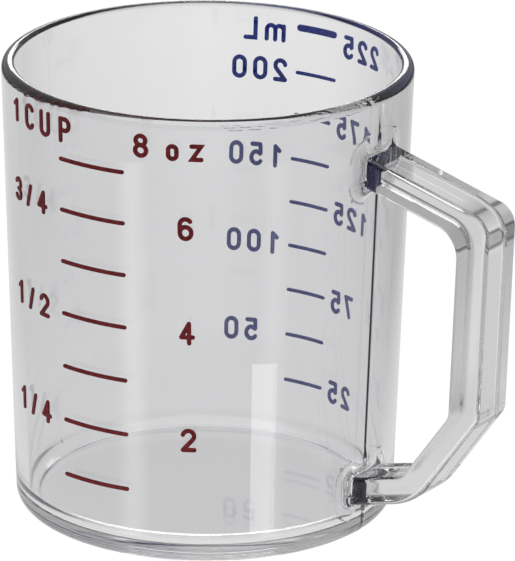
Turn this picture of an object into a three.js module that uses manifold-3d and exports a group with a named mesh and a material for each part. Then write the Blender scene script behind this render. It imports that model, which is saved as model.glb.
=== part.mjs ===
// A clear polycarbonate measuring cup: a drafted round cup, a solid angular handle moulded on its
// wall, and two raised, painted scales. Sizes are in millimetres. The origin is the centre of the
// underside, +Z is up and the handle points along +X. Cups and ounces are marked on the -Y side,
// millilitres on the +Y side. The wall rises until the cup holds its capacity just under the rim,
// and every line stands at the level of its own volume.

import * as THREE from "three";
import { LoftGeometry } from "three/addons/geometries/LoftGeometry.js";
import { mergeVertices } from "three/addons/utils/BufferGeometryUtils.js";
import Module from "manifold-3d";

const wasm = await Module();
wasm.setup();

// Volumes, in cubic millimetres
const millilitre = 1000;
const fluidOunce = 29573.5;
const capacityOunces = 8; // one cup

// Cup
const baseRadius = 32.45; // outside, where the wall's line meets the underside
const draftAngle = THREE.MathUtils.degToRad(1.85);
const wallThickness = 2.2;
const floorThickness = 2.7;
const baseCornerRadius = 3;
const floorCornerRadius = 3;
const rimRoom = 0.9; // from the level of the full capacity up to the rim
const rimOutsideRadius = 0.68 * wallThickness;
const rimInsideRadius = 0.25 * wallThickness;

// Handle
const fingerGap = 18.45; // from the wall to the grip, which runs parallel to it
const handleWidth = 9.5;
const gripThickness = 6.1;
const armThickness = 5.4;
const diagonalThickness = 4.75;
const footThickness = 4.9;
const handleEdgeRadius = 0.9;
const upperRootDrop = 12.35; // from the rim down to the middle of the upper arm
const lowerRootHeight = 9.5;
const gripFootHeight = 27.25; // where the grip turns into the diagonal
const armSlope = THREE.MathUtils.degToRad(15.6); // the upper arm falls by this, away from the wall
const footSlope = THREE.MathUtils.degToRad(13.7); // and the foot rises by this
const diagonalSlope = THREE.MathUtils.degToRad(54.7);
const upperBendOutside = 4;
const upperBendInside = 5;
const gripBendOutside = 3;
const gripBendInside = 3;
const footBendOutside = 12;
const footBendInside = 2.5;
const rootFillet = 3; // how far a root spreads on the wall
const rootReach = 1; // and how far that runs out along the handle
const rootClearance = 0.3; // between the handle's roots and the wall

// Graduations
const markRelief = 0.25; // how far a mark stands out of the wall
const markClearance = 0.05; // between the back of a mark and the wall
const lineSegment = 2; // a line bends round the wall in steps of about this length
const glyphWidth = 2.65;
const glyphHeight = 4.2;
const glyphStroke = 0.75;
const glyphGap = 1.15; // between digits of one number

// Cups and ounces
const ouncesFacing = -Math.PI / 2;
const ounceLineLength = 13.1;
const ounceLineWidth = 0.7;
const fractionGap = 3.4; // from a line's left end to the last digit of its fraction
const fractionPitch = 4.05;
const ounceGap = 9.1; // from a line's right end to its number
const fullNumberGap = 1.7; // from the lines' right end to the number of the full capacity
const fullLabelDrop = 2.55; // from the rim down to the top of the full capacity's labels

// Millilitres
const millilitresFacing = Math.PI / 2;
const millilitreStep = 25;
const millilitreLineLength = 8.6;
const millilitreLineWidth = 0.6;
const topLineWidth = 1.2; // the last line is heavy and stands on its level
const millilitreGap = 1.7; // from a line's end to its number

// Facets
const cupSegments = 96;
const arcStep = Math.PI / 6;
const bevelSteps = 2;
const glyphArcDivisions = 5;
const strokeEndSteps = 4;
const filletSteps = 4;
const levelStep = 0.02; // of the slices that a volume is summed from

const clearPlastic = { color: 0xd9dde0, roughness: 0.08, metalness: 0, transparent: true, opacity: 0.4 };
const redPaint = { color: 0x7d2027, roughness: 0.45, metalness: 0 };
const bluePaint = { color: 0x2b4a99, roughness: 0.45, metalness: 0 };

const vec = (x, y) => new THREE.Vector2(x, y);

function mesh(name, geometry, look) {
  const made = new THREE.Mesh(geometry, new THREE.MeshStandardMaterial(look));
  made.name = name;
  return made;
}

// Solids that can be joined and cut

function solid(geometry) {
  const bare = new THREE.BufferGeometry().copy(geometry);
  bare.deleteAttribute("normal");
  bare.deleteAttribute("uv");
  const merged = mergeVertices(bare);
  return new wasm.Manifold(
    new wasm.Mesh({
      numProp: 3,
      vertProperties: new Float32Array(merged.attributes.position.array),
      triVerts: new Uint32Array(merged.index.array),
    }),
  );
}

function geometryOf(body) {
  const { vertProperties, triVerts } = body.getMesh();
  const geometry = new THREE.BufferGeometry();
  geometry.setAttribute("position", new THREE.BufferAttribute(new Float32Array(vertProperties), 3));
  geometry.setIndex(new THREE.BufferAttribute(new Uint32Array(triVerts), 1));
  geometry.computeVertexNormals();
  return geometry;
}

// Outlines: corners given as { at, radius }, each rounded by an arc tangent to both its edges

function roundedCorner(before, { at, radius }, after) {
  if (!radius) return [at];
  const toBefore = before.clone().sub(at).normalize();
  const toAfter = after.clone().sub(at).normalize();
  const opening = Math.acos(THREE.MathUtils.clamp(toBefore.dot(toAfter), -1, 1));
  const bisector = toBefore.clone().add(toAfter).normalize();
  const centre = at.clone().addScaledVector(bisector, radius / Math.sin(opening / 2));
  const start = at.clone().addScaledVector(toBefore, radius / Math.tan(opening / 2));
  const turn = (Math.PI - opening) * Math.sign(toBefore.cross(toAfter));
  const steps = Math.max(2, Math.ceil(Math.abs(turn) / arcStep));
  return Array.from({ length: steps + 1 }, (_, i) => start.clone().rotateAround(centre, (-turn * i) / steps));
}

function roundedOutline(corners) {
  const count = corners.length;
  return corners.flatMap((corner, i) =>
    roundedCorner(corners[(i + count - 1) % count].at, corner, corners[(i + 1) % count].at),
  );
}

function turned(profile) {
  return new THREE.LatheGeometry(profile, cupSegments).rotateX(Math.PI / 2);
}

// Cup body

const outsideRadius = (height) => baseRadius + height * Math.tan(draftAngle);
const insideRadius = (height) => outsideRadius(height) - wallThickness;

// The floor's round corner takes up some of the volume
const cornerLoss = (1 - Math.PI / 4) * floorCornerRadius ** 2 * 2 * Math.PI * insideRadius(floorThickness);

function levelOf(volume) {
  const areaAt = (height) => Math.PI * insideRadius(height) ** 2;
  let left = volume + cornerLoss;
  let height = floorThickness;
  while (left > levelStep * areaAt(height)) {
    left -= levelStep * areaAt(height);
    height += levelStep;
  }
  return height + left / areaAt(height);
}

const cupHeight = levelOf(capacityOunces * fluidOunce) + rimRoom;
const rimRadius = outsideRadius(cupHeight);

function cupBody() {
  const corners = [
    { at: vec(0, 0), radius: 0 },
    { at: vec(baseRadius, 0), radius: baseCornerRadius },
    { at: vec(rimRadius, cupHeight), radius: rimOutsideRadius },
    { at: vec(insideRadius(cupHeight), cupHeight), radius: rimInsideRadius },
    { at: vec(insideRadius(floorThickness), floorThickness), radius: floorCornerRadius },
    { at: vec(0, floorThickness), radius: 0 },
  ];
  return mesh("cup_body", turned(roundedOutline(corners)), clearPlastic);
}

// Handle: four straight runs in the XZ plane, from the upper root round to the lower one

const run = (point, direction, thickness) => ({ point, direction: direction.normalize(), thickness });

function edge({ point, direction, thickness }, side) {
  const outward = vec(-direction.y, direction.x);
  return { point: point.clone().addScaledVector(outward, (side * thickness) / 2), direction };
}

function crossing(a, b) {
  const distance = b.point.clone().sub(a.point).cross(b.direction) / a.direction.cross(b.direction);
  return a.point.clone().addScaledVector(a.direction, distance);
}

const upperRootHeight = cupHeight - upperRootDrop;
const wallDirection = vec(Math.sin(draftAngle), Math.cos(draftAngle));
const gripOffset = fingerGap + gripThickness / (2 * wallDirection.y);
const gripFoot = vec(outsideRadius(gripFootHeight) + gripOffset, gripFootHeight);
const upperRoot = vec(outsideRadius(upperRootHeight), upperRootHeight);
const lowerRoot = vec(outsideRadius(lowerRootHeight), lowerRootHeight);

const arm = run(upperRoot, vec(Math.cos(armSlope), -Math.sin(armSlope)), armThickness);
const grip = run(gripFoot, wallDirection.clone().negate(), gripThickness);
const diagonal = run(gripFoot, vec(-Math.cos(diagonalSlope), -Math.sin(diagonalSlope)), diagonalThickness);
const foot = run(lowerRoot, vec(-Math.cos(footSlope), -Math.sin(footSlope)), footThickness);
const insideWall = { point: vec(baseRadius - wallThickness, 0), direction: vec(0, 1) };

function handleSide(side, bends) {
  const edges = [insideWall, ...[arm, grip, diagonal, foot].map((part) => edge(part, side)), insideWall];
  const radii = [0, ...bends, 0];
  return radii.map((radius, i) => ({ at: crossing(edges[i], edges[i + 1]), radius }));
}

function handleBar() {
  const outside = handleSide(1, [upperBendOutside, gripBendOutside, footBendOutside]);
  const inside = handleSide(-1, [upperBendInside, gripBendInside, footBendInside]);
  const outline = new THREE.Shape(roundedOutline([...outside, ...inside.reverse()]));
  const bar = new THREE.ExtrudeGeometry(outline, {
    depth: handleWidth - 2 * handleEdgeRadius,
    bevelThickness: handleEdgeRadius,
    bevelSize: handleEdgeRadius,
    bevelOffset: -handleEdgeRadius,
    bevelSegments: bevelSteps,
  });
  bar.translate(0, 0, handleEdgeRadius - handleWidth / 2);
  return solid(bar.rotateX(Math.PI / 2));
}

// A root flares out to the wall by a low fillet. Each ring of the flare lies at one distance from
// the wall, and the last one dives just under the bar's skin.
function rootFlare(root, slope, thickness) {
  const fillet = Array.from({ length: filletSteps + 1 }, (_, i) => {
    const angle = (i * Math.PI) / (2 * filletSteps);
    return { away: rootReach * (1 - Math.cos(angle)), spread: rootFillet * (1 - Math.sin(angle)) };
  });
  const buried = { away: -wallThickness, spread: rootFillet };
  const underSkin = { away: rootReach + handleEdgeRadius, spread: -handleEdgeRadius / 2 };
  const rings = [buried, ...fillet, underSkin].map(({ away, spread }) => {
    const halfWidth = handleWidth / 2 + spread;
    const halfHeight = thickness / (2 * Math.cos(slope)) + spread;
    const radius = handleEdgeRadius + Math.max(spread, 0);
    const corners = [vec(-1, -1), vec(1, -1), vec(1, 1), vec(-1, 1)].map((sign) => ({
      at: vec(sign.x * halfWidth, sign.y * halfHeight),
      radius,
    }));
    return roundedOutline(corners).map((p) => {
      const height = root.y + Math.tan(slope) * away + p.y;
      const wall = Math.sqrt(outsideRadius(height) ** 2 - p.x ** 2);
      return new THREE.Vector3(wall + away, p.x, height);
    });
  });
  return solid(new LoftGeometry(rings, { capStart: true, capEnd: true }));
}

function wallKeepOut() {
  const past = rootFillet;
  const radius = (height) => outsideRadius(height) + rootClearance;
  const profile = [vec(0, -past), vec(radius(-past), -past), vec(radius(cupHeight + past), cupHeight + past)];
  return solid(turned([...profile, vec(0, cupHeight + past)]));
}

function handle() {
  const upperFlare = rootFlare(upperRoot, -armSlope, armThickness);
  const lowerFlare = rootFlare(lowerRoot, footSlope, footThickness);
  const moulded = handleBar().add(upperFlare).add(lowerFlare).subtract(wallKeepOut());
  return mesh("handle", geometryOf(moulded), clearPlastic);
}

// Marks are drawn flat as strokes with round ends, joined, and then bent round the wall

function strokeSides(points, closed, width) {
  const last = points.length - 1;
  const normals = points.map((p, i) => {
    const before = points[i ? i - 1 : closed ? last : 0];
    const after = points[i < last ? i + 1 : closed ? 0 : last];
    const into = p.clone().sub(before).normalize();
    const out = after.clone().sub(p).normalize();
    const tangent = into.add(out).normalize();
    return vec(-tangent.y, tangent.x);
  });
  return [1, -1].map((side) =>
    points.map((p, i) => p.clone().addScaledVector(normals[i], (side * width) / 2)),
  );
}

function roundEnd(from, centre) {
  const inner = Array.from({ length: strokeEndSteps - 1 }, (_, i) => i + 1);
  return inner.map((i) => from.clone().rotateAround(centre, (-Math.PI * i) / strokeEndSteps));
}

function strokeShape({ points, closed }, width) {
  const [left, right] = strokeSides(points, closed, width);
  if (closed) {
    const ring = new THREE.Shape(right);
    ring.holes.push(new THREE.Path(left));
    return ring;
  }
  const endCap = roundEnd(left.at(-1), points.at(-1));
  const startCap = roundEnd(right[0], points[0]);
  return new THREE.Shape([...left, ...endCap, ...right.reverse(), ...startCap]);
}

function onWall(facing, along, height, proud) {
  const angle = facing + along / outsideRadius(height);
  const radius = outsideRadius(height) + markClearance + proud;
  return new THREE.Vector3(radius * Math.cos(angle), radius * Math.sin(angle), height);
}

function bendOnWall(geometry, facing, along, height) {
  const position = geometry.attributes.position;
  for (let i = 0; i < position.count; i++) {
    const [x, y, proud] = [position.getX(i), position.getY(i), position.getZ(i)];
    position.setXYZ(i, ...onWall(facing, along + x, height + y, proud));
  }
  geometry.computeVertexNormals();
  return geometry;
}

function raisedMark(strokes, width) {
  const plain = { depth: markRelief, bevelEnabled: false };
  const plates = strokes.map((stroke) => new THREE.ExtrudeGeometry(strokeShape(stroke, width), plain));
  if (plates.length === 1) return plates[0];
  return geometryOf(plates.map(solid).reduce((joined, plate) => joined.add(plate)));
}

// A line is lofted along the wall, and its sections narrow towards its round ends
function scaleLine(name, look, facing, height, length, width) {
  const straightHalf = (length - width) / 2;
  const steps = Math.ceil(length / lineSegment);
  const bar = Array.from({ length: steps + 1 }, (_, i) => ({
    along: straightHalf * ((2 * i) / steps - 1),
    half: width / 2,
  }));
  const end = Array.from({ length: strokeEndSteps / 2 }, (_, i) => {
    const angle = ((i + 1) * Math.PI) / (strokeEndSteps + 2);
    return { along: straightHalf + (width / 2) * Math.cos(angle), half: (width / 2) * Math.sin(angle) };
  });
  const start = end.map(({ along, half }) => ({ along: -along, half }));
  const sections = [...start, ...bar, ...end.reverse()].map(({ along, half }) => [
    onWall(facing, along, height - half, markRelief),
    onWall(facing, along, height - half, 0),
    onWall(facing, along, height + half, 0),
    onWall(facing, along, height + half, markRelief),
  ]);
  return mesh(name, new LoftGeometry(sections, { capStart: true, capEnd: true }), look);
}

// Digits: strokes on their centre lines, a wide to each side of the middle and b high

const a = (glyphWidth - glyphStroke) / 2;
const b = glyphHeight - glyphStroke;

function pen(draw, closed = false) {
  const path = new THREE.Path();
  draw(path);
  const points = path.getPoints(glyphArcDivisions);
  if (closed) points.pop();
  return { points, closed };
}

const straight = (x0, y0, x1, y1) => pen((p) => p.moveTo(x0, y0).lineTo(x1, y1));
const bowl = (y, rx, ry, from, to) => pen((p) => p.absellipse(0, y, rx, ry, from, to, true));
const loop = (y, rx, ry) => pen((p) => p.absellipse(0, y, rx, ry, 0, 2 * Math.PI, false), true);

const glyphs = {
  0: [
    pen(
      (p) => p.absarc(0, b - a, a, 0, Math.PI).absarc(0, a, a, Math.PI, 2 * Math.PI).lineTo(a, b - a),
      true,
    ),
  ],
  1: [straight(0.15 * a, 0, 0.15 * a, b), straight(-0.7 * a, b - 0.75 * a, 0.15 * a, b)],
  2: [
    pen((p) => p.absarc(0, b - a, a, 0.92 * Math.PI, -0.22 * Math.PI, true).lineTo(-a, 0)),
    straight(-a, 0, a, 0),
  ],
  3: [
    bowl(0.76 * b, 0.92 * a, 0.24 * b, 0.85 * Math.PI, -0.5 * Math.PI),
    bowl(0.26 * b, a, 0.26 * b, 0.5 * Math.PI, -0.85 * Math.PI),
  ],
  4: [
    straight(0.35 * a, b, -a, 0.3 * b),
    straight(-a, 0.3 * b, a, 0.3 * b),
    straight(0.35 * a, b, 0.35 * a, 0),
  ],
  5: [
    straight(-0.75 * a, b, 0.85 * a, b),
    straight(-0.75 * a, b, -0.82 * a, 0.55 * b),
    bowl(0.31 * b, a, 0.31 * b, 0.75 * Math.PI, -0.8 * Math.PI),
  ],
  6: [
    loop(0.3 * b, a, 0.3 * b),
    pen((p) => p.absarc(0, b - a, a, 0.2 * Math.PI, Math.PI).lineTo(-a, 0.3 * b)),
  ],
  7: [straight(-a, b, a, b), straight(a, b, -0.25 * a, 0)],
  8: [loop(0.765 * b, 0.88 * a, 0.235 * b), loop(0.265 * b, a, 0.265 * b)],
  "/": [straight(-0.55 * a, 0, 0.55 * a, b)],
};

// One digit, centred at this arc along the wall and at this height
function glyph(name, look, character, facing, along, height) {
  const flat = raisedMark(glyphs[character], glyphStroke).translate(0, -b / 2, 0);
  return mesh(name, bendOnWall(flat, facing, along, height), look);
}

// A number whose last digit is centred at this arc along the wall
function number(name, look, text, facing, lastAlong, height, pitch) {
  return [...text].map((character, i) => {
    const part = character === "/" ? "slash" : character;
    const along = lastAlong - (text.length - 1 - i) * pitch;
    return glyph(`${name}_${i + 1}_${part}`, look, character, facing, along, height);
  });
}

// Cups and ounces: a line for each ounce below the brim, fractions at the left, ounces at the right

const fullLabelHeight = cupHeight - fullLabelDrop - glyphHeight / 2;
const quarters = { 1: ["cups_quarter", "1/4"], 2: ["cups_half", "1/2"], 3: ["cups_three_quarters", "3/4"] };

function ounceScale() {
  const scale = new THREE.Group();
  const fractionEnd = -ounceLineLength / 2 - fractionGap - glyphWidth / 2;
  const numberPlace = ounceLineLength / 2 + ounceGap + glyphWidth / 2;
  const onePlace = fractionEnd - 2 * fractionPitch;
  const fullPlace = ounceLineLength / 2 + fullNumberGap + glyphWidth / 2;
  for (let ounces = 1; ounces < capacityOunces; ounces++) {
    const level = levelOf(ounces * fluidOunce);
    const line = `ounce_line_${ounces}`;
    scale.add(scaleLine(line, redPaint, ouncesFacing, level, ounceLineLength, ounceLineWidth));
    const quarter = quarters[(4 * ounces) / capacityOunces];
    if (!quarter) continue;
    const [name, text] = quarter;
    scale.add(...number(name, redPaint, text, ouncesFacing, fractionEnd, level, fractionPitch));
    scale.add(glyph(`ounces_${ounces}`, redPaint, ounces, ouncesFacing, numberPlace, level));
  }
  const full = `ounces_${capacityOunces}`;
  scale.add(glyph("cups_one", redPaint, 1, ouncesFacing, onePlace, fullLabelHeight));
  scale.add(glyph(full, redPaint, capacityOunces, ouncesFacing, fullPlace, fullLabelHeight));
  return scale;
}

// Millilitres: numbers stand by turns left and right of their lines, ranged on the last digit

function millilitreScale() {
  const scale = new THREE.Group();
  const pitch = glyphWidth + glyphGap;
  const nearest = millilitreLineLength / 2 + millilitreGap + glyphWidth / 2;
  const lastPlace = { left: -nearest, right: nearest + 2 * pitch };
  const count = Math.ceil((capacityOunces * fluidOunce) / (millilitreStep * millilitre)) - 1;
  for (let i = 1; i <= count; i++) {
    const level = levelOf(i * millilitreStep * millilitre);
    const isTop = i === count;
    const text = String(i * millilitreStep);
    const width = isTop ? topLineWidth : millilitreLineWidth;
    const lineHeight = isTop ? level + width / 2 : level;
    const numberHeight = isTop ? lineHeight + (width - glyphHeight) / 2 : level;
    const place = i % 2 ? lastPlace.left : lastPlace.right;
    const line = `millilitre_line_${text}`;
    const label = `millilitres_${text}`;
    scale.add(scaleLine(line, bluePaint, millilitresFacing, lineHeight, millilitreLineLength, width));
    scale.add(...number(label, bluePaint, text, millilitresFacing, place, numberHeight, pitch));
  }
  return scale;
}

const measuringCup = new THREE.Group();
measuringCup.add(cupBody(), handle(), ounceScale(), millilitreScale());

export default measuringCup;
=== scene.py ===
import math

import bmesh
import bpy
from mathutils import Matrix, Vector


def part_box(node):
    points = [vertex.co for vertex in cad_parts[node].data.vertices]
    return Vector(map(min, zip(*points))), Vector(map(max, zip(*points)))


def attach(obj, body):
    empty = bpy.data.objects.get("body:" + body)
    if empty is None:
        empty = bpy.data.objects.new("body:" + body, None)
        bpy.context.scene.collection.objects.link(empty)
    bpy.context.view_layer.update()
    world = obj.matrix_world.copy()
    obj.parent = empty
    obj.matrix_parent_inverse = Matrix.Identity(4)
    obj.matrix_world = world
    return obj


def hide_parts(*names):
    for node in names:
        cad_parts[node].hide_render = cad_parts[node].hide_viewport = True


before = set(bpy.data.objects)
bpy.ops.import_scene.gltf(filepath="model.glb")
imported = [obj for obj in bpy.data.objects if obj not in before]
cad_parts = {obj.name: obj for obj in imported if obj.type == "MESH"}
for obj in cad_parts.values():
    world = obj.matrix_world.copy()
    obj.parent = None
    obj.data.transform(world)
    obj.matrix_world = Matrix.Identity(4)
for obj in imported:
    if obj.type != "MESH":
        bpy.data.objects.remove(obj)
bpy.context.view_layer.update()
mm = 0.001  # shapes are drawn in millimetres and scaled to metres when they are finished
scene = bpy.context.scene
print("frame loaded:", len(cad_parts), "nodes")


def linear(hexText):
    parts = [int(hexText[i : i + 2], 16) / 255 for i in (1, 3, 5)]
    return [c / 12.92 if c <= 0.04045 else ((c + 0.055) / 1.055) ** 2.4 for c in parts] + [1]


def addNode(tree, kind, settings=None, inputs=None):
    node = tree.nodes.new(kind)
    for name, value in (settings or {}).items():
        setattr(node, name, value)
    for key, value in (inputs or {}).items():
        if isinstance(value, bpy.types.NodeSocket):
            tree.links.new(value, node.inputs[key])
        else:
            node.inputs[key].default_value = value
    return node


def newMaterial(name):
    material = bpy.data.materials.new(name)
    material.use_nodes = True
    material.node_tree.nodes.clear()
    return material, material.node_tree


def newObject(name, mesh):
    made = bpy.data.objects.new(name, mesh)
    scene.collection.objects.link(made)
    return made


def finishedMesh(made):
    graph = bpy.context.evaluated_depsgraph_get()
    mesh = bpy.data.meshes.new_from_object(made.evaluated_get(graph), depsgraph=graph)
    made.modifiers.clear()
    return mesh


def meshFrom(name, build):
    bm = bmesh.new()
    build(bm)
    bmesh.ops.recalc_face_normals(bm, faces=bm.faces)
    mesh = bpy.data.meshes.new(name)
    bm.to_mesh(mesh)
    bm.free()
    return mesh


# Materials

clearSettings = {
    "tint": "#f3f3f4",
    "depthTint": "#bcbcbe",
    "depth": 8.0,
    "ior": 1.585,
    "hazeSize": 14 * mm,
    "haze": 0.03,  # the most roughness
    "waveSize": 9 * mm,
    "waveHeight": 0.012 * mm,
    "waveStrength": 0.35,
}


# Polycarbonate, moulded in a polished steel tool: clear as glass, a little grey in its thick
# parts, with the faint waviness that the cooling skin keeps
def clearPolycarbonate():
    s = clearSettings
    material, tree = newMaterial("polycarbonate_clear_moulded")
    place = addNode(tree, "ShaderNodeTexCoord").outputs["Object"]
    haze = addNode(
        tree,
        "ShaderNodeTexNoise",
        inputs={"Vector": place, "Scale": 1 / s["hazeSize"], "Detail": 3.0},
    )
    rough = addNode(
        tree,
        "ShaderNodeMapRange",
        inputs={"Value": haze.outputs["Fac"], "To Min": 0.0, "To Max": s["haze"]},
    )
    sink = addNode(
        tree,
        "ShaderNodeTexNoise",
        inputs={"Vector": place, "Scale": 1 / s["waveSize"], "Detail": 1.0},
    )
    wavy = addNode(
        tree,
        "ShaderNodeBump",
        inputs={"Strength": s["waveStrength"], "Distance": s["waveHeight"], "Height": sink.outputs["Fac"]},
    )
    shader = addNode(
        tree,
        "ShaderNodeBsdfPrincipled",
        inputs={
            "Base Color": linear(s["tint"]),
            "Roughness": rough.outputs["Result"],
            "IOR": s["ior"],
            "Transmission Weight": 1.0,
            "Normal": wavy.outputs["Normal"],
        },
    )
    depth = addNode(
        tree,
        "ShaderNodeVolumeAbsorption",
        inputs={"Color": linear(s["depthTint"]), "Density": s["depth"]},
    )
    addNode(
        tree,
        "ShaderNodeOutputMaterial",
        inputs={"Surface": shader.outputs["BSDF"], "Volume": depth.outputs["Volume"]},
    )
    return material


paintSettings = {
    "red": ("#5c0a10", "#8e2c32"),  # where the paint is full and where it is thin
    "blue": ("#0e2aa8", "#3a5ce0"),
    "speckSize": 0.5 * mm,
    "cover": (0.35, 0.75),
    "roughness": (0.4, 0.6),
    "peelHeight": 0.02 * mm,
    "peelStrength": 0.3,
    "ior": 1.5,
    "specular": 0.2,
}


# Enamel paint, rolled over raised marks: opaque, half gloss, thinner in specks where the roller
# left less of it
def rolledPaint(name, colours):
    s = paintSettings
    material, tree = newMaterial(name)
    place = addNode(tree, "ShaderNodeTexCoord").outputs["Object"]
    specks = addNode(
        tree,
        "ShaderNodeTexNoise",
        inputs={"Vector": place, "Scale": 1 / s["speckSize"], "Detail": 4.0},
    ).outputs["Fac"]
    cover = addNode(tree, "ShaderNodeValToRGB", inputs={"Fac": specks})
    for stop, position, colour in zip(cover.color_ramp.elements, s["cover"], colours):
        stop.position = position
        stop.color = linear(colour)
    low, high = s["roughness"]
    rough = addNode(tree, "ShaderNodeMapRange", inputs={"Value": specks, "To Min": low, "To Max": high})
    orangePeel = addNode(
        tree,
        "ShaderNodeBump",
        inputs={"Strength": s["peelStrength"], "Distance": s["peelHeight"], "Height": specks},
    )
    shader = addNode(
        tree,
        "ShaderNodeBsdfPrincipled",
        inputs={
            "Base Color": cover.outputs["Color"],
            "Roughness": rough.outputs["Result"],
            "IOR": s["ior"],
            "Specular IOR Level": s["specular"],
            "Normal": orangePeel.outputs["Normal"],
        },
    )
    addNode(tree, "ShaderNodeOutputMaterial", inputs={"Surface": shader.outputs["BSDF"]})
    return material


clearPlastic = clearPolycarbonate()
redPaint = rolledPaint("enamel_dark_red_rolled", paintSettings["red"])
bluePaint = rolledPaint("enamel_blue_rolled", paintSettings["blue"])
print("materials made")


# Outlines of straight edges with round corners


def roundedCorner(before, corner, after, radius, step):
    if not radius:
        return [corner]
    toBefore = (before - corner).normalized()
    toAfter = (after - corner).normalized()
    opening = toBefore.angle(toAfter)
    centre = corner + (toBefore + toAfter).normalized() * radius / math.sin(opening / 2)
    start = corner + toBefore * radius / math.tan(opening / 2)
    turn = math.copysign(math.pi - opening, -toBefore.cross(toAfter))
    count = max(2, math.ceil(abs(turn) / math.radians(step)))
    return [centre + Matrix.Rotation(turn * i / count, 2) @ (start - centre) for i in range(count + 1)]


def roundedOutline(corners, step):
    points = [Vector(at) for at, radius in corners]
    count = len(points)
    outline = []
    for i, (at, radius) in enumerate(corners):
        outline += roundedCorner(points[i - 1], points[i], points[(i + 1) % count], radius, step)
    return outline


# Cup: turned round Z, with the mould's parting line as a fine ridge under the handle and opposite it

cupSettings = {
    "baseRadius": 32.45,  # outside, where the wall's line meets the underside
    "draft": math.tan(math.radians(1.85)),
    "wall": 2.2,
    "floor": 2.7,
    "baseCorner": 3.0,
    "floorCorner": 3.0,
    "rimOutside": 1.496,
    "rimInside": 0.55,
    "arcStep": 7.5,  # degrees
    "columns": 240,
    "rowStep": 4.0,
    # ridges: azimuth, width, height and the stretch below the rim in which they fade out
    "seams": [(0, 0.8, 0.32, 2.5), (180, 0.35, 0.05, 2.5)],
}
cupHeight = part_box("cup_body")[1].z / mm


def outsideRadius(height):
    return cupSettings["baseRadius"] + height * cupSettings["draft"]


def insideRadius(height):
    return outsideRadius(height) - cupSettings["wall"]


# Half section of the cup: from the axis out under the floor, up the wall and back over the floor
def cupProfile():
    s = cupSettings
    corners = [
        ((0, 0), 0),
        ((s["baseRadius"], 0), s["baseCorner"]),
        ((outsideRadius(cupHeight), cupHeight), s["rimOutside"]),
        ((insideRadius(cupHeight), cupHeight), s["rimInside"]),
        ((insideRadius(s["floor"]), s["floor"]), s["floorCorner"]),
        ((0, s["floor"]), 0),
    ]
    outline = roundedOutline(corners, s["arcStep"])
    profile = [outline[0]]
    for point in outline[1:]:
        count = max(1, round((point - profile[-1]).length / s["rowStep"]))
        start = profile[-1]
        profile += [start.lerp(point, (i + 1) / count) for i in range(count)]
    return profile


# Every column of the turned wall: its azimuth, how far a ridge lifts it and where that fades
def cupColumns():
    s = cupSettings
    turn = 2 * math.pi / s["columns"]
    flat = (0, 1)
    columns = {i * turn: flat for i in range(s["columns"])}
    for azimuth, width, height, fade in s["seams"]:
        flank = width / 2 / s["baseRadius"]
        middle = math.radians(azimuth)
        columns.update({middle - flank: flat, middle: (height, fade), middle + flank: flat})
    return sorted(columns.items())


def buildCup(bm):
    s = cupSettings
    profile = cupProfile()
    rim = max(range(len(profile)), key=lambda i: profile[i].y)
    grid = []
    for azimuth, (ridge, fade) in cupColumns():
        column = []
        for i, (radius, height) in enumerate(profile[1:-1]):
            below = cupHeight - s["rimOutside"] - s["rimInside"] - height
            share = max(0, min(1, height / s["baseCorner"], below / fade))
            out = radius + (ridge * share if i < rim else 0)
            column.append(bm.verts.new((out * math.cos(azimuth), out * math.sin(azimuth), height)))
        grid.append(column)
    bottom = bm.verts.new((0, 0, 0))
    top = bm.verts.new((0, 0, profile[-1].y))
    for i, here in enumerate(grid):
        there = grid[(i + 1) % len(grid)]
        bm.faces.new((bottom, there[0], here[0]))
        bm.faces.new((top, here[-1], there[-1]))
        for j in range(len(here) - 1):
            bm.faces.new((here[j], there[j], there[j + 1], here[j + 1]))


# Handle: four straight runs in the XZ plane, from the upper root round to the lower one

handleSettings = {
    "fingerGap": 18.45,  # from the wall to the grip
    "width": 9.5,
    "grip": 6.1,
    "arm": 5.4,
    "diagonal": 4.75,
    "foot": 4.9,
    "edge": 0.9,
    "edgeRound": 0.5,  # bevel profile, a quarter circle
    "upperRootDrop": 12.35,
    "lowerRootHeight": 9.5,
    "gripFootHeight": 27.25,
    "armSlope": math.radians(15.6),  # the upper arm falls by this
    "footSlope": math.radians(13.7),  # and the foot rises by this
    "diagonalSlope": math.radians(54.7),
    "outsideBends": [4, 3, 12],
    "insideBends": [5, 3, 2.5],
    "rootFillet": 3.0,  # how far a root spreads on the wall
    "rootReach": 1.0,  # and how far that runs out along the handle
    "rootDepth": 1.0,  # how far the roots reach into the wall
    "arcStep": 6,
    "edgeSegments": 5,
    "filletSteps": 10,
}


# A run's edge on one side, as a point and a direction
def edgeOf(run, side):
    point, direction, thickness = run
    return point + Vector((-direction.y, direction.x)) * side * thickness / 2, direction


def crossing(first, second):
    (here, ahead), (there, sideways) = first, second
    return here + ahead * ((there - here).cross(sideways) / ahead.cross(sideways))


def rootPoint(height):
    return Vector((outsideRadius(height), height))


def sloping(angle):
    return Vector((math.cos(angle), math.sin(angle)))


# The runs' points, directions and thicknesses
def handleRuns():
    s = handleSettings
    wall = Vector((cupSettings["draft"], 1)).normalized()
    gripFoot = rootPoint(s["gripFootHeight"]) + Vector((s["fingerGap"] + s["grip"] / 2 / wall.y, 0))
    return [
        (rootPoint(cupHeight - s["upperRootDrop"]), sloping(-s["armSlope"]), s["arm"]),
        (gripFoot, -wall, s["grip"]),
        (gripFoot, -sloping(s["diagonalSlope"]), s["diagonal"]),
        (rootPoint(s["lowerRootHeight"]), -sloping(s["footSlope"]), s["foot"]),
    ]


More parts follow.
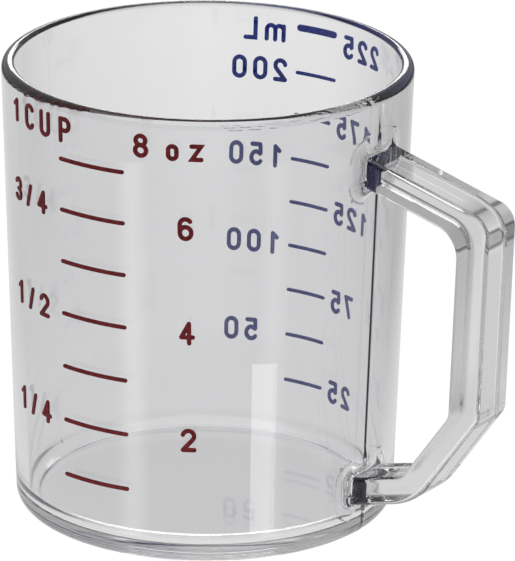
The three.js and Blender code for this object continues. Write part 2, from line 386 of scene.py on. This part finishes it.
# Corners of one side of the bar, from one root to the other, with the radius of each bend
def handleSide(side, bends):
    inside = Vector((cupSettings["baseRadius"] - handleSettings["rootDepth"], 0))
    inWall = (inside, Vector((cupSettings["draft"], 1)))
    edges = [inWall] + [edgeOf(run, side) for run in handleRuns()] + [inWall]
    return [(crossing(edges[i], edges[i + 1]), radius) for i, radius in enumerate([0, *bends, 0])]


def buildBar(bm):
    s = handleSettings
    corners = handleSide(1, s["outsideBends"]) + handleSide(-1, s["insideBends"])[::-1]
    outline = roundedOutline(corners, s["arcStep"])
    near = bm.faces.new([bm.verts.new((p.x, -s["width"] / 2, p.y)) for p in outline])
    far = bmesh.ops.extrude_face_region(bm, geom=[near])["geom"]
    moved = [v for v in far if isinstance(v, bmesh.types.BMVert)]
    bmesh.ops.translate(bm, verts=moved, vec=(0, s["width"], 0))
    rims = [e for e in bm.edges if abs(e.verts[0].co.y - e.verts[1].co.y) < s["edge"]]
    bmesh.ops.bevel(
        bm,
        geom=rims,
        offset=s["edge"],
        segments=s["edgeSegments"],
        profile=s["edgeRound"],
        affect="EDGES",
    )


# A root flares out to the wall by a low fillet: each ring lies at one distance from the wall
def buildFlare(bm, root, slope, thickness):
    s = handleSettings
    fillet = s["rootFillet"]
    turns = [i * math.pi / 2 / s["filletSteps"] for i in range(s["filletSteps"] + 1)]
    steps = [(-s["rootDepth"], fillet)]
    steps += [(s["rootReach"] * (1 - math.cos(t)), fillet * (1 - math.sin(t))) for t in turns]
    steps.append((s["rootReach"] + s["edge"], -s["edge"] / 2))
    rings = []
    for away, spread in steps:
        x = s["width"] / 2 + spread
        z = thickness / 2 / math.cos(slope) + spread
        radius = s["edge"] + max(spread, 0)
        ring = []
        corners = [((-x, -z), radius), ((x, -z), radius), ((x, z), radius), ((-x, z), radius)]
        for p in roundedOutline(corners, s["arcStep"]):
            height = root + math.tan(slope) * away + p.y
            wall = math.sqrt(outsideRadius(height) ** 2 - p.x**2)
            ring.append(bm.verts.new((wall + away, p.x, height)))
        rings.append(ring)
    for here, there in zip(rings, rings[1:]):
        for i in range(len(here)):
            bm.faces.new((here[i - 1], here[i], there[i], there[i - 1]))
    bm.faces.new(rings[0])
    bm.faces.new(rings[-1])


def clearMoulding():
    s = handleSettings
    body = newObject("clear_moulding", meshFrom("cup", buildCup))
    added = {
        "bar": buildBar,
        "upper_root": lambda bm: buildFlare(bm, cupHeight - s["upperRootDrop"], -s["armSlope"], s["arm"]),
        "lower_root": lambda bm: buildFlare(bm, s["lowerRootHeight"], s["footSlope"], s["foot"]),
    }
    tools = [newObject(name, meshFrom(name, build)) for name, build in added.items()]
    for tool in tools:
        join = body.modifiers.new("join", "BOOLEAN")
        join.operation = "UNION"
        join.solver = "EXACT"
        join.object = tool
    joined = finishedMesh(body)
    joined.transform(Matrix.Scale(mm, 4))
    joined.shade_smooth()
    joined.materials.clear()
    joined.materials.append(clearPlastic)
    body.data = joined
    body.modifiers.new("even", "WEIGHTED_NORMAL")
    body.data = finishedMesh(body)
    for tool in tools:
        bpy.data.objects.remove(tool)
    return body


moulding = clearMoulding()
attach(moulding, "root")
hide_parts("cup_body", "handle")
print("moulding made:", len(moulding.data.polygons), "faces")


# Marks: strokes drawn flat, x along the wall and y up, then joined and wrapped round the wall

markSettings = {
    "relief": 0.25,
    "sink": 0.08,  # the marks are moulded with the wall, so they reach into it
    "soften": 0.08,
    "stroke": 0.75,
    "width": 2.65,
    "height": 4.2,
    "capitals": 4.6,
    "sharpest": 0.25,  # limits how far out a bend's sides are pushed to keep the stroke's width
    "closest": 0.0001,  # points nearer than this are one
    "endSteps": 8,
    "arcStep": 15,
    "lineStep": 1.0,
}
# The strokes' centre lines reach this far to each side, and this far up
half = (markSettings["width"] - markSettings["stroke"]) / 2
tall = markSettings["height"] - markSettings["stroke"]
capital = markSettings["capitals"] - markSettings["stroke"]


def arc(x, y, rx, ry, start, end):
    count = max(3, math.ceil(abs(end - start) / markSettings["arcStep"]))
    angles = [math.radians(start + (end - start) * i / count) for i in range(count + 1)]
    return [(x + rx * math.cos(t), y + ry * math.sin(t)) for t in angles]


def loop(y, rx, ry):
    return {"points": arc(0, y, rx, ry, 0, 360)[:-1], "closed": True}


def line(*points):
    return {"points": list(points), "closed": False}


def oval(rx, height):
    return {"points": arc(0, height - rx, rx, rx, 0, 180) + arc(0, rx, rx, rx, 180, 360), "closed": True}


glyphs = {
    "0": [oval(half, tall)],
    "1": [
        line((0.15 * half, 0), (0.15 * half, tall)),
        line((-0.7 * half, tall - 0.75 * half), (0.15 * half, tall)),
    ],
    "2": [line(*arc(0, tall - half, half, half, 166, -40), (-half, 0)), line((-half, 0), (half, 0))],
    "3": [
        line(*arc(0, 0.76 * tall, 0.92 * half, 0.24 * tall, 153, -90)),
        line(*arc(0, 0.26 * tall, half, 0.26 * tall, 90, -153)),
    ],
    "4": [
        line((0.35 * half, tall), (-half, 0.3 * tall)),
        line((-half, 0.3 * tall), (half, 0.3 * tall)),
        line((0.35 * half, tall), (0.35 * half, 0)),
    ],
    "5": [
        line((-0.75 * half, tall), (0.85 * half, tall)),
        line((-0.75 * half, tall), (-0.82 * half, 0.55 * tall)),
        line(*arc(0, 0.31 * tall, half, 0.31 * tall, 135, -144)),
    ],
    "6": [
        loop(0.3 * tall, half, 0.3 * tall),
        line(*arc(0, tall - half, half, half, 36, 180), (-half, 0.3 * tall)),
    ],
    "7": [line((-half, tall), (half, tall)), line((half, tall), (-0.25 * half, 0))],
    "8": [loop(0.765 * tall, 0.88 * half, 0.235 * tall), loop(0.265 * tall, half, 0.265 * tall)],
    "slash": [line((-0.55 * half, 0), (0.55 * half, tall))],
    "C": [line(*arc(0, capital - half, half, half, 20, 180), *arc(0, half, half, half, 180, 340))],
    "U": [line((-half, capital), *arc(0, half, half, half, 180, 360), (half, capital))],
    "P": [
        line((-half, 0), (-half, capital)),
        line(
            (-half, capital),
            *arc(0.1 * half, 0.74 * capital, 0.9 * half, 0.26 * capital, 90, -90),
            (-half, 0.48 * capital),
        ),
    ],
    "o": [oval(0.69, 2.2)],
    "z": [line((-0.78, 2.3), (0.78, 2.3), (-0.78, 0), (0.78, 0))],
    "m": [
        line((-1.6, 0), (-1.6, 2.5)),
        line((-1.6, 1.7), *arc(-0.8, 1.7, 0.8, 0.8, 180, 0), (0, 0)),
        line((0, 1.7), *arc(0.8, 1.7, 0.8, 0.8, 180, 0), (1.6, 0)),
    ],
    "L": [line((-0.9, tall), (-0.9, 0), (0.9, 0))],
}


def middleOf(strokes):
    xs = [x for stroke in strokes for x, y in stroke["points"]]
    ys = [y for stroke in strokes for x, y in stroke["points"]]
    return Vector(((min(xs) + max(xs)) / 2, (min(ys) + max(ys)) / 2))


# Sideways directions along a stroke, longer at its bends
def strokeNormals(points, closed):
    normals = []
    last = len(points) - 1
    for i, p in enumerate(points):
        before = points[i - 1] if i or closed else p
        after = points[(i + 1) % len(points)] if i < last or closed else p
        into = (p - before).normalized()
        out = (after - p).normalized()
        tangent = (into + out).normalized()
        bend = max(markSettings["sharpest"], (1 + into.dot(out)) / 2) if 0 < i < last else 1
        normals.append(Vector((-tangent.y, tangent.x)) / math.sqrt(bend))
    return normals


def roundEnd(centre, start):
    steps = markSettings["endSteps"]
    return [centre + Matrix.Rotation(-math.pi * i / steps, 2) @ start for i in range(1, steps)]


# One stroke: a closed solid with round ends and a softened top edge
def addStroke(bm, stroke, place, width):
    s = markSettings
    closed = stroke["closed"]
    drawn = [Vector(p) + place for p in stroke["points"]]
    steps = [(p - drawn[i - 1]).length for i, p in enumerate(drawn)]
    points = [p for i, p in enumerate(drawn) if steps[i] > s["closest"] or (i == 0 and not closed)]
    normals = strokeNormals(points, closed)
    levels = []
    for inset, proud in ((0, -s["sink"]), (0, s["relief"] - s["soften"]), (s["soften"], s["relief"])):
        reach = width / 2 - inset
        sides = [
            [p + n * reach for p, n in zip(points, normals)],
            [p - n * reach for p, n in zip(points, normals)],
            [] if closed else roundEnd(points[-1], normals[-1] * reach),
            [] if closed else roundEnd(points[0], -normals[0] * reach),
        ]
        levels.append([[bm.verts.new((*p, proud)) for p in side] for side in sides])
    ahead = [*range(1, len(points)), *([0] if closed else [])]
    for (left, right, endCap, startCap), order in ((levels[-1], 1), (levels[0], -1)):
        faces = [(left[i - 1], right[i - 1], right[i], left[i]) for i in ahead]
        if not closed:
            faces += [(left[-1], *endCap, right[-1]), (right[0], *startCap, left[0])]
        for face in faces:
            bm.faces.new(face[::order])
    for low, high in zip(levels, levels[1:]):
        if closed:
            rings = [(low[0], high[0]), (low[1], high[1])]
        else:
            rings = [[level[0] + level[2] + level[1][::-1] + level[3] for level in (low, high)]]
        for lowRing, highRing in rings:
            for i in range(len(lowRing)):
                bm.faces.new((lowRing[i - 1], lowRing[i], highRing[i], highRing[i - 1]))


# Bends flat marks round the drafted wall: x becomes an angle, y a height and z the relief
def wrapTree():
    tree = bpy.data.node_groups.new("wrapOnWall", "GeometryNodeTree")
    sockets = {}
    for name, kind, inOut in (
        ("Marks", "NodeSocketGeometry", "INPUT"),
        ("Facing", "NodeSocketFloat", "INPUT"),
        ("Base Radius", "NodeSocketFloat", "INPUT"),
        ("Draft", "NodeSocketFloat", "INPUT"),
        ("Scale", "NodeSocketFloat", "INPUT"),
        ("Paint", "NodeSocketMaterial", "INPUT"),
        ("Wrapped", "NodeSocketGeometry", "OUTPUT"),
    ):
        sockets[name] = tree.interface.new_socket(name, in_out=inOut, socket_type=kind).identifier
    given = addNode(tree, "NodeGroupInput").outputs
    joined = addNode(
        tree,
        "GeometryNodeMeshBoolean",
        {"operation": "UNION", "solver": "EXACT"},
        {"Mesh 2": given["Marks"], "Self Intersection": True},
    )
    where = addNode(tree, "GeometryNodeInputPosition")
    flat = addNode(tree, "ShaderNodeSeparateXYZ", inputs={0: where.outputs[0]}).outputs

    def worked(operation, *values):
        return addNode(tree, "ShaderNodeMath", {"operation": operation}, dict(enumerate(values))).outputs[0]

    wall = worked("ADD", worked("MULTIPLY", flat["Y"], given["Draft"]), given["Base Radius"])
    angle = worked("ADD", worked("DIVIDE", flat["X"], wall), given["Facing"])
    radius = worked("ADD", wall, flat["Z"])
    x = worked("MULTIPLY", radius, worked("COSINE", angle))
    y = worked("MULTIPLY", radius, worked("SINE", angle))
    onWall = addNode(tree, "ShaderNodeCombineXYZ", inputs={"X": x, "Y": y, "Z": flat["Y"]})
    scaled = addNode(
        tree,
        "ShaderNodeVectorMath",
        {"operation": "SCALE"},
        {"Vector": onWall.outputs[0], "Scale": given["Scale"]},
    )
    moved = addNode(
        tree,
        "GeometryNodeSetPosition",
        inputs={"Geometry": joined.outputs["Mesh"], "Position": scaled.outputs[0]},
    )
    real = addNode(tree, "GeometryNodeRealizeInstances", inputs={"Geometry": moved.outputs[0]})
    painted = addNode(
        tree,
        "GeometryNodeSetMaterial",
        inputs={"Geometry": real.outputs[0], "Material": given["Paint"]},
    )
    addNode(tree, "NodeGroupOutput", inputs={"Wrapped": painted.outputs[0]})
    return tree, sockets


wrapping, wrapSockets = wrapTree()


# Strokes are given with their places and widths
def paintedMarks(name, strokes, facing, paint, slot, nodes=()):
    def build(bm):
        for stroke, place, width in strokes:
            addStroke(bm, stroke, place, width)

    piece = newObject(name, meshFrom(name, build))
    wrap = piece.modifiers.new("wrap", "NODES")
    wrap.node_group = wrapping
    wrap[wrapSockets["Facing"]] = facing
    wrap[wrapSockets["Base Radius"]] = cupSettings["baseRadius"]
    wrap[wrapSockets["Draft"]] = cupSettings["draft"]
    wrap[wrapSockets["Scale"]] = mm
    wrap[wrapSockets["Paint"]] = paint
    piece.data = finishedMesh(piece)
    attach(piece, "root")
    if nodes:
        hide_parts(*nodes)
    print("marks made:", name, len(piece.data.polygons), "faces")
    return piece


# Where a CAD mark lies on the unrolled wall
def markPlace(node, facing):
    low, high = (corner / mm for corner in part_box(node))
    middle = (low + high) / 2
    angle = math.remainder(math.atan2(middle.y, middle.x) - facing, 2 * math.pi)
    return Vector((angle * outsideRadius(middle.z), middle.z)), high - low


def lineStrokes(nodes, facing):
    strokes = []
    for node in nodes:
        place, size = markPlace(node, facing)
        radius = outsideRadius(place.y)
        reach = radius * math.asin(size.x / 2 / radius) - size.z / 2
        count = math.ceil(2 * reach / markSettings["lineStep"])
        points = [(reach * (2 * i / count - 1), 0) for i in range(count + 1)]
        strokes.append((line(*points), place, size.z))
    return strokes


def digitStrokes(nodes, facing):
    strokes = []
    for node in nodes:
        glyph = glyphs["1" if node == "cups_one" else node.split("_")[-1]]
        place = markPlace(node, facing)[0] - middleOf(glyph)
        strokes += [(stroke, place, markSettings["stroke"]) for stroke in glyph]
    return strokes


def wordStrokes(letters, baseline):
    strokes = []
    for letter, along in letters:
        place = Vector((along, baseline + markSettings["stroke"] / 2))
        strokes += [(stroke, place, markSettings["stroke"]) for stroke in glyphs[letter]]
    return strokes


wordSettings = {
    "cup": [("C", -14.6), ("U", -10.1), ("P", -5.2)],
    "ounces": [("o", 14.95), ("z", 18.95)],
    "millilitres": [("m", 8.5), ("L", 13.1)],
    "drop": 6.85,  # from the rim down to the words' baseline
}
redFacing = -math.pi / 2
blueFacing = math.pi / 2
wordBase = cupHeight - wordSettings["drop"]
nodeNames = sorted(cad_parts)
ounceLines = [n for n in nodeNames if n.startswith("ounce_line")]
ounceDigits = [n for n in nodeNames if n.startswith("ounces_")]
cupDigits = [n for n in nodeNames if n.startswith("cups_")]
millilitreLines = [n for n in nodeNames if n.startswith("millilitre_line")]
millilitreDigits = [n for n in nodeNames if n.startswith("millilitres_")]

red = (redFacing, redPaint, "red_paint")
blue = (blueFacing, bluePaint, "blue_paint")
paintedMarks("ounce_lines", lineStrokes(ounceLines, redFacing), *red, ounceLines)
paintedMarks("ounce_numbers", digitStrokes(ounceDigits, redFacing), *red, ounceDigits)
paintedMarks("cup_fractions", digitStrokes(cupDigits, redFacing), *red, cupDigits)
paintedMarks("word_cup", wordStrokes(wordSettings["cup"], wordBase), *red)
paintedMarks("word_oz", wordStrokes(wordSettings["ounces"], wordBase), *red)
paintedMarks("millilitre_lines", lineStrokes(millilitreLines, blueFacing), *blue, millilitreLines)
paintedMarks("millilitre_numbers", digitStrokes(millilitreDigits, blueFacing), *blue, millilitreDigits)
paintedMarks("word_ml", wordStrokes(wordSettings["millilitres"], wordBase), *blue)


# Studio: a white light table, bright near the cup but for painted contact shade right round it, and dimmer
# far from it, to both sides and in front, where the fall to the right is a painted shadow of the cup, with
# cards of light lying on it, a room that is bright behind and dark in front, and soft boxes

studioSettings = {
    "front": math.radians(33.6),  # azimuth of the stage's front, from -Y towards +X
    "rise": math.radians(19.466),  # elevation that it is laid out for
    "tableRadius": 6.0,
    "tableSides": 64,
    "tableGap": 0.0001,
    "tableWhite": 1.02,  # what the camera sees of the table
    # the table's light by distance from the cup's axis, dimmer close to the cup as painted contact shade
    "tableLightAndPaintedShade": [(0.03, 0.81), (0.14, 0.85), (0.28, 0.92), (0.6, 0.25)],
    # and its fall to three sides: from, to and the share that is left there; the fall to the right is a
    # painted shadow of the cup
    "rightPaintedShadow": (0.025, 0.1, 0.6),
    "leftFall": (0.015, 0.1, 0.75),
    "frontFall": (0.03, 0.11, 0.75),
    # cards, by what the cup's wall mirrors: degrees right of the front, heights in mm, light
    "cards": [
        {"wall": (-28, -15), "heights": (4, 76), "light": 1.5, "soft": True},
        {"wall": (14, 26), "heights": (4, 76), "light": 0.9, "soft": True},
        {"wall": (14, 21.7), "heights": (5, 35), "light": 2.7, "soft": False},
    ],
    "cardGap": 0.0002,
    "cardSteps": 12,
    "roomBright": 0.6,
    "roomDark": 0.3,
    "roomTurn": (-0.6, 0.35),  # from behind to in front, as cosines
    # soft boxes: place and size in metres, power in watts
    "softBoxes": {
        "top_soft_box": ((0.03, -0.15, 0.95), (1.2, 1.2), 6),
        "back_strip_light": ((-0.166, 0.25, 0.175), (0.2, 0.04), 0.1),
    },
    "bounces": 24,
}


# Level direction that lies this many degrees to the right of the stage's front
def heading(angle):
    turned = studioSettings["front"] + math.radians(angle)
    return Vector((math.sin(turned), -math.cos(turned), 0))


def stagePiece(name, build, height, material):
    piece = newObject(name, meshFrom(name, build))
    piece.data.transform(Matrix.Translation((0, 0, height)))
    piece.data.materials.append(material)
    return piece


# How far a point of the table lies in this direction
def along(tree, direction):
    place = addNode(tree, "ShaderNodeTexCoord").outputs["Object"]
    dot = addNode(tree, "ShaderNodeVectorMath", {"operation": "DOT_PRODUCT"}, {0: place, 1: direction})
    return dot.outputs["Value"]


def lightTable():
    s = studioSettings
    material, tree = newMaterial("opal_acrylic_light_table")
    place = addNode(tree, "ShaderNodeTexCoord").outputs["Object"]
    away = addNode(tree, "ShaderNodeVectorMath", {"operation": "LENGTH"}, {0: place})
    # painted shade: the glow is dimmed close round the cup where its contact shadow would fall
    first, last = s["tableLightAndPaintedShade"][0][0], s["tableLightAndPaintedShade"][-1][0]
    reach = addNode(
        tree,
        "ShaderNodeMapRange",
        inputs={"Value": away.outputs["Value"], "From Min": first, "From Max": last},
    )
    radial = addNode(tree, "ShaderNodeValToRGB", inputs={"Fac": reach.outputs["Result"]})
    stops = radial.color_ramp.elements
    for distance, light in s["tableLightAndPaintedShade"][1:-1]:
        stops.new((distance - first) / (last - first))
    for stop, (distance, light) in zip(stops, s["tableLightAndPaintedShade"]):
        stop.color = (light, light, light, 1)
    given = radial.outputs["Color"]
    # the fall to the right paints the cup's cast shadow on the table; the left and front falls dim the
    # table's glow
    for angle, name in ((90, "rightPaintedShadow"), (-90, "leftFall"), (0, "frontFall")):
        start, end, left = s[name]
        fall = addNode(
            tree,
            "ShaderNodeMapRange",
            inputs={
                "Value": along(tree, heading(angle)),
                "From Min": start,
                "From Max": end,
                "To Min": 1.0,
                "To Max": left,
            },
        )
        both = {0: given, 1: fall.outputs["Result"]}
        given = addNode(tree, "ShaderNodeMath", {"operation": "MULTIPLY"}, both).outputs[0]
    seen = addNode(tree, "ShaderNodeLightPath").outputs["Is Camera Ray"]
    strength = addNode(
        tree,
        "ShaderNodeMix",
        inputs={"Factor": seen, "A": given, "B": s["tableWhite"]},
    )
    glow = addNode(tree, "ShaderNodeEmission", inputs={"Strength": strength.outputs["Result"]})
    addNode(tree, "ShaderNodeOutputMaterial", inputs={"Surface": glow.outputs[0]})

    def build(bm):
        bmesh.ops.create_circle(bm, cap_ends=True, segments=s["tableSides"], radius=s["tableRadius"])

    stagePiece("light_table", build, -s["tableGap"], material)


# A card adds its light to the table's, strongest along its middle where it is soft
def brightCard(name, card):
    s = studioSettings
    material, tree = newMaterial(name)
    share = addNode(tree, "ShaderNodeAttribute", {"attribute_name": "share"})
    strength = addNode(
        tree,
        "ShaderNodeMath",
        {"operation": "MULTIPLY"},
        {0: share.outputs["Fac"], 1: card["light"]},
    )
    glow = addNode(tree, "ShaderNodeEmission", inputs={"Strength": strength.outputs[0]})
    clear = addNode(tree, "ShaderNodeBsdfTransparent")
    both = addNode(tree, "ShaderNodeAddShader", inputs={0: glow.outputs[0], 1: clear.outputs[0]})
    addNode(tree, "ShaderNodeOutputMaterial", inputs={"Surface": both.outputs[0]})

    def build(bm):
        shares = bm.verts.layers.float.new("share")
        low, high = card["wall"]
        rows = []
        for i in range(s["cardSteps"] + 1):
            step = i / s["cardSteps"]
            wall = low + (high - low) * step
            row = []
            for height in card["heights"]:
                away = height / math.tan(s["rise"] + 2 * math.atan(cupSettings["draft"]))
                place = heading(wall) * outsideRadius(height) + heading(2 * wall) * away
                vert = bm.verts.new(place * mm)
                vert[shares] = math.sin(math.pi * step) ** 2 if card["soft"] else 1
                row.append(vert)
            rows.append(row)
        for here, there in zip(rows, rows[1:]):
            bm.faces.new((here[0], here[1], there[1], there[0]))

    piece = stagePiece(name, build, s["cardGap"], material)
    piece.visible_transmission = False  # it is seen in the gloss alone, not through the plastic


def room():
    s = studioSettings
    level = math.cos(s["rise"])
    front = heading(0) * level + Vector((0, 0, math.sin(s["rise"])))
    world = bpy.data.worlds.new("studio")
    world.use_nodes = True
    tree = world.node_tree
    tree.nodes.clear()
    direction = addNode(tree, "ShaderNodeTexCoord").outputs["Generated"]
    facing = addNode(tree, "ShaderNodeVectorMath", {"operation": "DOT_PRODUCT"}, {0: direction, 1: front})
    behind, before = s["roomTurn"]
    shade = addNode(
        tree,
        "ShaderNodeMapRange",
        {"interpolation_type": "SMOOTHSTEP"},
        {
            "Value": facing.outputs["Value"],
            "From Min": behind,
            "From Max": before,
            "To Min": s["roomBright"],
            "To Max": s["roomDark"],
        },
    )
    seen = addNode(tree, "ShaderNodeLightPath").outputs["Is Camera Ray"]
    strength = addNode(
        tree,
        "ShaderNodeMix",
        inputs={"Factor": seen, "A": shade.outputs["Result"], "B": s["tableWhite"]},
    )
    light = addNode(tree, "ShaderNodeBackground", inputs={"Strength": strength.outputs["Result"]})
    addNode(tree, "ShaderNodeOutputWorld", inputs={"Surface": light.outputs[0]})
    scene.world = world


def softBox(name, place, size, power):
    lamp = bpy.data.lights.new(name, "AREA")
    lamp.shape = "RECTANGLE"
    lamp.size, lamp.size_y = size
    lamp.energy = power
    box = newObject(name, lamp)
    box.location = place
    box.rotation_mode = "QUATERNION"
    box.rotation_quaternion = (box.location - Vector((0, 0, cupHeight * mm))).to_track_quat("Z", "Y")


# Camera: a long lens, from above and from the handle's near side

cameraSettings = {
    "azimuth": studioSettings["front"],
    "elevation": studioSettings["rise"],
    "roll": math.radians(0.617),
    "distance": 1.1,
    "target": (0.007302, 0.004851, 0.039616),
    "lens": 412.6,
    "sensor": 36,
    "farthest": 100,
}


def makeCamera():
    s = cameraSettings
    across = math.cos(s["elevation"])
    east = math.sin(s["azimuth"]) * across
    south = math.cos(s["azimuth"]) * across
    back = Vector((east, -south, math.sin(s["elevation"])))
    data = bpy.data.cameras.new("camera")
    data.lens = s["lens"]
    data.sensor_width = s["sensor"]
    data.clip_end = s["farthest"]
    camera = newObject("camera", data)
    camera.location = Vector(s["target"]) + back * s["distance"]
    turn = back.to_track_quat("Z", "Y").to_matrix() @ Matrix.Rotation(s["roll"], 3, "Z")
    camera.rotation_mode = "QUATERNION"
    camera.rotation_quaternion = turn.to_quaternion()
    scene.camera = camera


makeCamera()
lightTable()
for number, card in enumerate(studioSettings["cards"], 1):
    brightCard(f"white_card_{number}", card)
room()
for name, (place, size, power) in studioSettings["softBoxes"].items():
    softBox(name, place, size, power)
scene.view_settings.view_transform = "Standard"
# light that is guided round inside the plastic turns many times before it leaves
scene.cycles.max_bounces = studioSettings["bounces"]
scene.cycles.transmission_bounces = studioSettings["bounces"]
scene.cycles.glossy_bounces = studioSettings["bounces"]
print("studio made")
